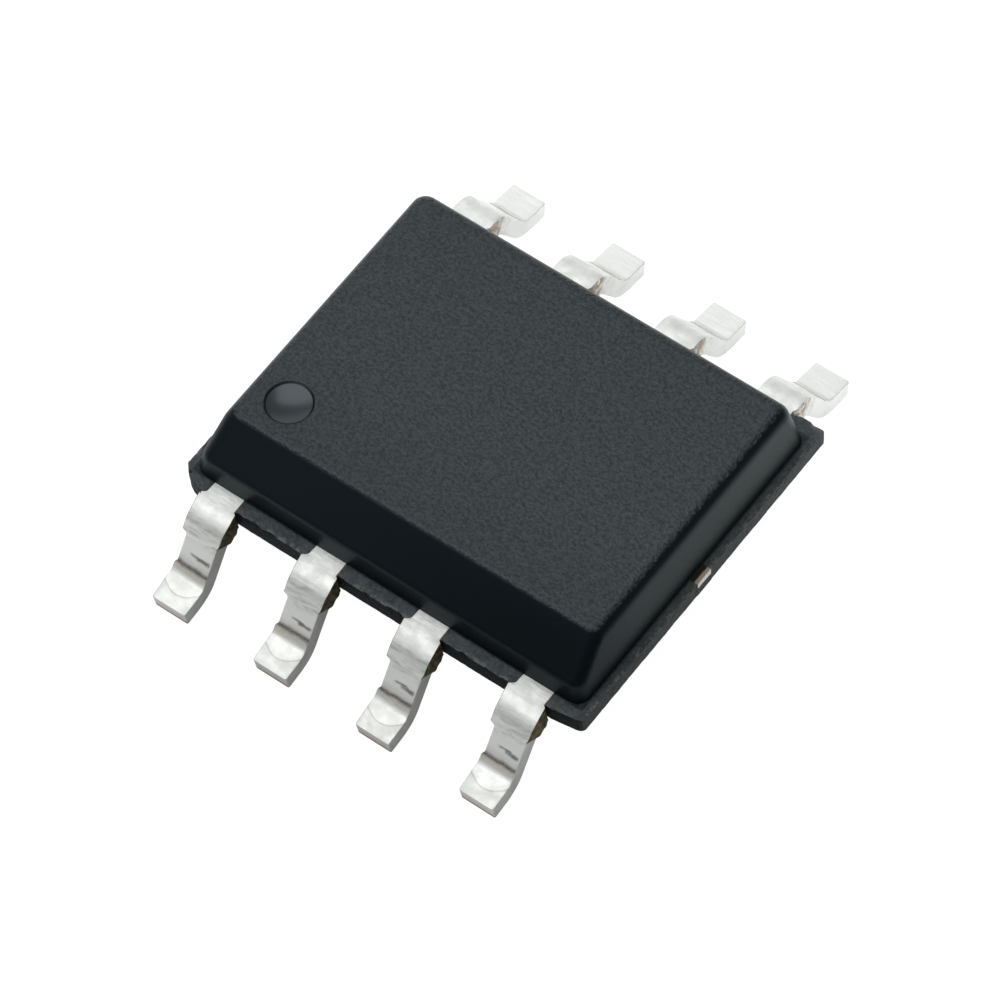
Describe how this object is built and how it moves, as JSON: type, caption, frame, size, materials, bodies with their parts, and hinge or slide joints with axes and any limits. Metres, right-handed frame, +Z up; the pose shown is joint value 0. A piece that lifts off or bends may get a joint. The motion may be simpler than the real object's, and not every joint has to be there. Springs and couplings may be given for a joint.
{
  "type": "microcontroller in a small-outline package",
  "caption": "Small-outline microcontroller: a moulded plastic body with formed gull-wing leads along two sides, and a bevel and a round dimple that mark the first lead.",
  "frame": {"origin": "middle of the part on the seating plane, under the lead tips' box", "axes": "+Z up from the board; +X along leads 1 to 4, starting at lead 1; +Y from leads 1 to 4 to leads 5 to 8"},
  "size_m": [0.005, 0.006, 0.0015],
  "materials": {
    "resin": "dark grey filled epoxy moulding, eroded matte top and smoother dark sides",
    "tin": "matte tin plating, with bare copper where the dam bar and the tips were cut",
    "copper": "bare copper alloy strip",
    "silicon": "polished grey silicon",
    "adhesive": "silver-filled adhesive",
    "gold": "fine gold wire"
  },
  "bodies": {
    "root": {"body": "resin", "die_paddle": "copper", "die_attach": "adhesive", "die": "silicon", "lead_1": "tin", "lead_2": "tin", "lead_3": "tin", "lead_4": "tin", "lead_5": "tin", "lead_6": "tin", "lead_7": "tin", "lead_8": "tin", "bond_wire_1": "gold", "bond_wire_2": "gold", "bond_wire_3": "gold", "bond_wire_4": "gold", "bond_wire_5": "gold", "bond_wire_6": "gold", "bond_wire_7": "gold", "bond_wire_8": "gold"}
  },
  "joints": []
}
